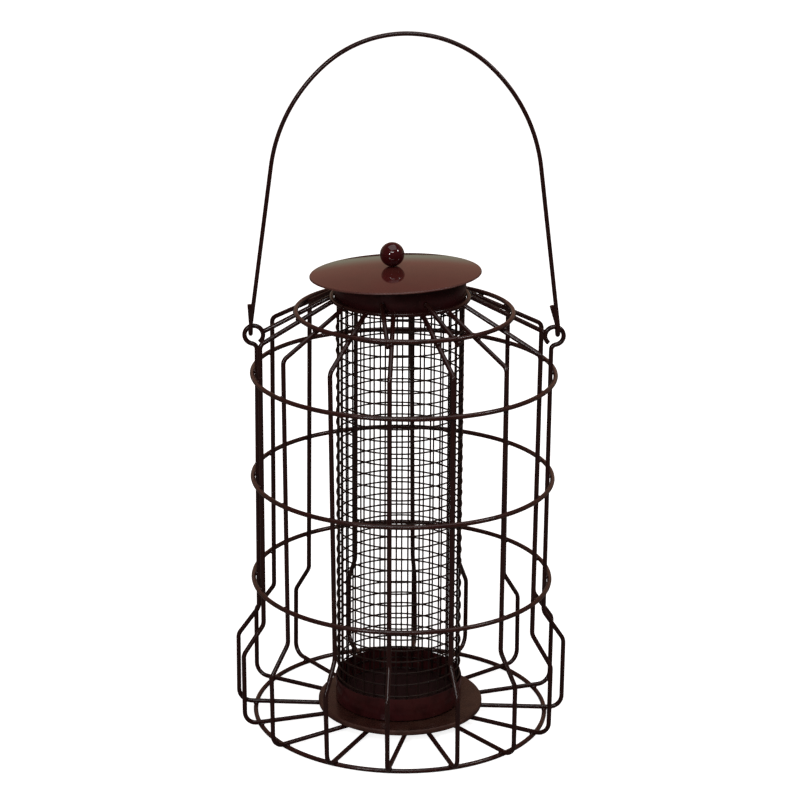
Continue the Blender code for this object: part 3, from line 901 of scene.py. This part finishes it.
def build_collar():
    low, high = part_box("collar")
    piece = turned("fine_collar", [(high.x, high.z), (high.x, low.z)], CORE_SHEET)
    piece.matrix_world = CORE_PLACE
    dress(piece, "cage", "collar", MATERIALS["collar"], "collar")


def mesh_hoop(radius, height, number):
    """One hoop of the seed tube, open at the seam, where its end steps over its start."""
    start = math.radians(MESH_SEAM_DEGREES)
    turn = math.tau + math.radians(MESH_SEAM_OVERLAP_DEGREES)
    points = []
    for step in range(HOOP_STEPS + 1):
        part = step / HOOP_STEPS
        angle = start + turn * part
        past_seam = (turn * part - math.tau) / (turn - math.tau)
        lap = min(1, max(0, past_seam * MESH_SEAM_STEEPNESS))
        sag = MESH_HOOP_SAG * math.sin(MESH_HOOP_WAVES * angle + MESH_HOOP_PHASE * number)
        points.append(polar(radius + MESH_SEAM_STEP * lap, angle, height + sag))
    return points


def build_seed_tube():
    """Hoops outside and uprights inside, spot welded where they cross."""
    low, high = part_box("mesh_tube")
    hoop_radius = high.x + MESH_SWELL - MESH_WIRE_RADIUS - MESH_SEAM_STEP / 2
    upright_radius = hoop_radius - MESH_WELD_DEPTH
    bottom = low.z + MESH_WIRE_RADIUS
    top = high.z - MESH_WIRE_RADIUS
    paths = []
    for number in range(MESH_HOOPS):
        height = bottom + (top - bottom) * number / (MESH_HOOPS - 1)
        paths.append(mesh_hoop(hoop_radius, height, number))
    for number in range(MESH_UPRIGHTS):
        angle = math.radians(MESH_FIRST_DEGREES) + math.tau * number / MESH_UPRIGHTS
        paths.append([polar(upright_radius, angle, low.z), polar(upright_radius, angle, high.z)])
    piece = wires("seed_tube_mesh", paths, MESH_WIRE_RADIUS, MESH_SIDES_RESOLUTION)
    piece.matrix_world = CORE_PLACE
    dress(piece, "cage", "mesh_tube", MATERIALS["mesh"], "mesh_tube")


# Lid


def lid_matrix():
    """Where the lid's own axes stand: on the collar, to the left, leaning left and nodding back."""
    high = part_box("collar")[1]
    lean, nod = math.radians(LID_LEAN_DEGREES), math.radians(LID_NOD_DEGREES)
    fall = LID_RISE / LID_RADIUS**2
    mean_drop = fall * (high.x**2 + LID_SHIFT**2) - LID_SHIFT * math.tan(lean)
    side_drop = high.x * (math.tan(lean) - 2 * fall * LID_SHIFT)
    seat = high.z + JOINT_GAP + mean_drop + math.hypot(side_drop, high.x * math.tan(nod))
    return Matrix.Translation((-LID_SHIFT, 0, seat)) @ Euler((-nod, -lean, 0)).to_matrix().to_4x4()


def lid_top(radius):
    """Height of the dome's upper face over the lid's own zero."""
    return SHEET - LID_RISE * (radius / LID_RADIUS) ** 2


def build_lid_shell():
    radii = [(LID_RADIUS - LID_EDGE_BEND) * step / ARC_STEPS for step in range(ARC_STEPS + 1)]
    dome = [(radius, lid_top(radius)) for radius in radii]
    corner = (LID_RADIUS - LID_EDGE_BEND, dome[-1][1] - LID_EDGE_BEND)
    bend = quarter(corner, LID_EDGE_BEND, math.pi / 2, 0)
    lip = (LID_RADIUS, lid_top(LID_RADIUS) - LID_LIP)
    return turned("fine_lid", [*dome, *bend[1:], lip], SHEET)


def build_lid_skirt():
    top = lid_top(SKIRT_RADIUS) - SHEET - JOINT_GAP
    profile = [(SKIRT_RADIUS, top), (SKIRT_RADIUS, top - SKIRT_DEPTH)]
    return turned("fine_lid_skirt", profile, SHEET)


def build_knob():
    """A ball with a flat foot."""
    bottom = lid_top(0)
    centre = Vector((0, bottom + JOINT_GAP + math.sqrt(KNOB_RADIUS**2 - KNOB_FLAT_RADIUS**2)))
    flat = -math.acos(KNOB_FLAT_RADIUS / KNOB_RADIUS)
    ball = arc_points(centre, KNOB_RADIUS, math.pi / 2, flat, 2 * ARC_STEPS)
    profile = [tuple(point) for point in ball] + [(0, ball[-1].y)]
    return turned("fine_knob", profile, steps=TURN_STEPS // 2)


def settle(piece):
    """Turns a piece's modifiers into plain mesh, so that what they used can go."""
    shown = piece.evaluated_get(bpy.context.evaluated_depsgraph_get())
    mesh = bpy.data.meshes.new_from_object(shown)
    piece.modifiers.clear()
    piece.data = mesh


def build_screw_head():
    """A pan head with a cross recess, over the CAD screw's plain head."""
    top = lid_top(0) - SHEET - WASHER_THICKNESS - 2 * JOINT_GAP
    bottom = top - SCREW_HEAD_HEIGHT
    corner = (SCREW_HEAD_RADIUS - SCREW_HEAD_BEND, bottom + SCREW_HEAD_BEND)
    edge = quarter(corner, SCREW_HEAD_BEND, 0, -math.pi / 2)
    profile = [(0, top), (SCREW_HEAD_RADIUS, top), *edge, (0, bottom)]
    head = turned("fine_screw_head", profile, steps=SCREW_STEPS)
    cutters = bpy.data.collections.new("cutters")
    for turn in (0, math.pi / 2):
        bpy.ops.mesh.primitive_cube_add(size=1, location=(0, 0, bottom))
        cutter = bpy.context.object
        cutter.scale = (SCREW_RECESS_LENGTH, SCREW_RECESS_WIDTH, 2 * SCREW_RECESS_DEPTH)
        cutter.rotation_euler.z = turn
        bpy.context.view_layer.update()
        cutters.objects.link(cutter)
    recess = head.modifiers.new("Recess", "BOOLEAN")
    recess.operand_type = "COLLECTION"
    recess.collection = cutters
    recess.solver = "EXACT"
    settle(head)
    for cutter in list(cutters.objects):
        bpy.data.objects.remove(cutter)
    return head


def build_lid():
    """The lid and what it carries, each placed by the lid's own axes and its shift from them."""
    place = lid_matrix()
    pieces = (
        (build_screw_head(), "knob_hardware", "steel", "knob_screw", 0),
        (build_lid_shell(), "lid", "lid", "lid", 0),
        (build_lid_skirt(), "lid_skirt", "lid", "lid_skirt", 0),
        (build_knob(), "knob", "knob", "knob", KNOB_SHIFT),
    )
    for piece, slot, material, node, shift in pieces:
        piece.matrix_world = place @ Matrix.Translation((shift, 0, 0))
        dress(piece, "lid", slot, MATERIALS[material], node)
    washer = frame["nodes"]["knob_washer"]
    washer.data.materials.clear()
    washer.data.materials.append(MATERIALS["steel"])


# Bail


def hook_points(side):
    """One hook, from the foot of the leg, under the eye's top wire and up to the tail's end."""
    hook = arc_points(Vector((0, 0)), HOOK_RADIUS, math.pi, math.tau, ARC_STEPS)
    points = [Vector((side * HOOK_REACH, point.x, point.y)) for point in hook]
    tail = Vector((side * HOOK_REACH + TAIL_LEANS[side], HOOK_RADIUS, TAIL_LENGTH))
    return [*points, tail]


def build_bail():
    """A round crown and two wider shoulders that run into the hooks, mirrored left and right."""
    crown_centre = Vector((0, BAIL_RISE - BAIL_CROWN_RADIUS - BAIL_SWELL))
    crown_end = math.pi / 2 - math.radians(BAIL_CROWN_DEGREES)
    crown = arc_points(crown_centre, BAIL_CROWN_RADIUS, math.pi / 2, crown_end, ARC_STEPS)
    away = (crown[-1] - crown_centre).normalized()
    shoulder_centre = crown[-1] - away * BAIL_SHOULDER_RADIUS
    leg = Vector((HOOK_REACH, 0)) - shoulder_centre
    tangent = math.atan2(leg.y, leg.x) + math.acos(BAIL_SHOULDER_RADIUS / leg.length)
    shoulder = arc_points(
        shoulder_centre, BAIL_SHOULDER_RADIUS, crown_end, tangent, ARC_STEPS
    )
    half = crown + shoulder[1:]
    right = [Vector((point.x, 0, point.y)) for point in half] + hook_points(1)
    left = [Vector((-point.x, 0, point.y)) for point in half[1:]] + hook_points(-1)
    piece = wires("fine_bail", [left[::-1] + right], FINE_BAIL_RADIUS)
    piece.location.z = HINGE_HEIGHT
    dress(piece, "bail", "bail", MATERIALS["coat"], "bail")


# Stage, lights and camera


def build_floor():
    bpy.ops.mesh.primitive_circle_add(
        vertices=FLOOR_SIDES, radius=FLOOR_RADIUS, fill_type="NGON"
    )
    floor = bpy.context.object
    floor.name = "studio_floor"
    floor.data.materials.append(floor_material())


def area_light(name, direction, distance, size, power):
    """A rectangular lamp that faces the feeder from a direction."""
    data = bpy.data.lights.new(name, "AREA")
    data.shape = "RECTANGLE"
    data.size, data.size_y = size
    data.energy = power
    light = new_object(name, data)
    away = Vector(direction).normalized()
    light.location = Vector(LIGHT_TARGET) + away * distance
    light.rotation_mode = "QUATERNION"
    light.rotation_quaternion = away.to_track_quat("Z", "Y")


def build_sky():
    """White to the camera, and to the feeder a dim room with a paler far wall, greyer low down."""
    world = bpy.data.worlds.new("soft_sky")
    world.use_nodes = True
    tree = world.node_tree
    room = tree.nodes["Background"]
    white = tree.nodes.new("ShaderNodeBackground")
    white.inputs["Color"].default_value = SKY_WHITE
    place = tree.nodes.new("ShaderNodeTexCoord")
    parts = tree.nodes.new("ShaderNodeSeparateXYZ")
    tree.links.new(place.outputs["Generated"], parts.inputs["Vector"])
    climb = spread(tree, parts.outputs["Z"], *WALL_TURN, 0.0, 1.0)
    wall = colour_mix(tree, climb, WALL_LOW_COLOUR, WALL_HIGH_COLOUR)
    below_top = spread(tree, parts.outputs["Z"], *WALL_TOP, 1.0, 0.0)
    behind = spread(tree, parts.outputs["Y"], *WALL_SIDES, 0.0, 1.0)
    share = arithmetic(tree, "MULTIPLY", below_top, behind)
    tree.links.new(colour_mix(tree, share, ROOM_COLOUR, wall), room.inputs["Color"])
    seen, unseen = white.outputs["Background"], room.outputs["Background"]
    seen_or_not(tree, seen, unseen, "World Output")
    bpy.context.scene.world = world


def build_camera():
    """The photograph's view: yaw to the right, drop below level, then roll about the sight line."""
    forward = Vector((
        math.sin(CAMERA_YAW) * math.cos(CAMERA_DROP),
        math.cos(CAMERA_YAW) * math.cos(CAMERA_DROP),
        -math.sin(CAMERA_DROP),
    ))
    level = forward.cross(Vector((0, 0, 1))).normalized()
    upright = level.cross(forward)
    across = math.cos(CAMERA_ROLL) * level + math.sin(CAMERA_ROLL) * upright
    up = math.cos(CAMERA_ROLL) * upright - math.sin(CAMERA_ROLL) * level
    data = bpy.data.cameras.new("camera")
    data.lens = CAMERA_LENS
    data.sensor_width = CAMERA_SENSOR
    data.clip_start, data.clip_end = CAMERA_CLIP
    camera = new_object("camera", data)
    place = Vector(CAMERA_PLACE) / MILLIMETRES_PER_METRE
    turn = Matrix((across, up, -forward)).transposed().to_4x4()
    camera.matrix_world = Matrix.Translation(place) @ turn
    bpy.context.scene.camera = camera


build_camera()
build_floor()
build_sky()
for light in LIGHTS:
    area_light(*light)
build_cage()
build_base_plate()
build_base_cup()
build_collar()
build_seed_tube()
build_lid()
build_bail()
bpy.context.scene.view_settings.view_transform = "Standard"

bpy.context.view_layer.update()
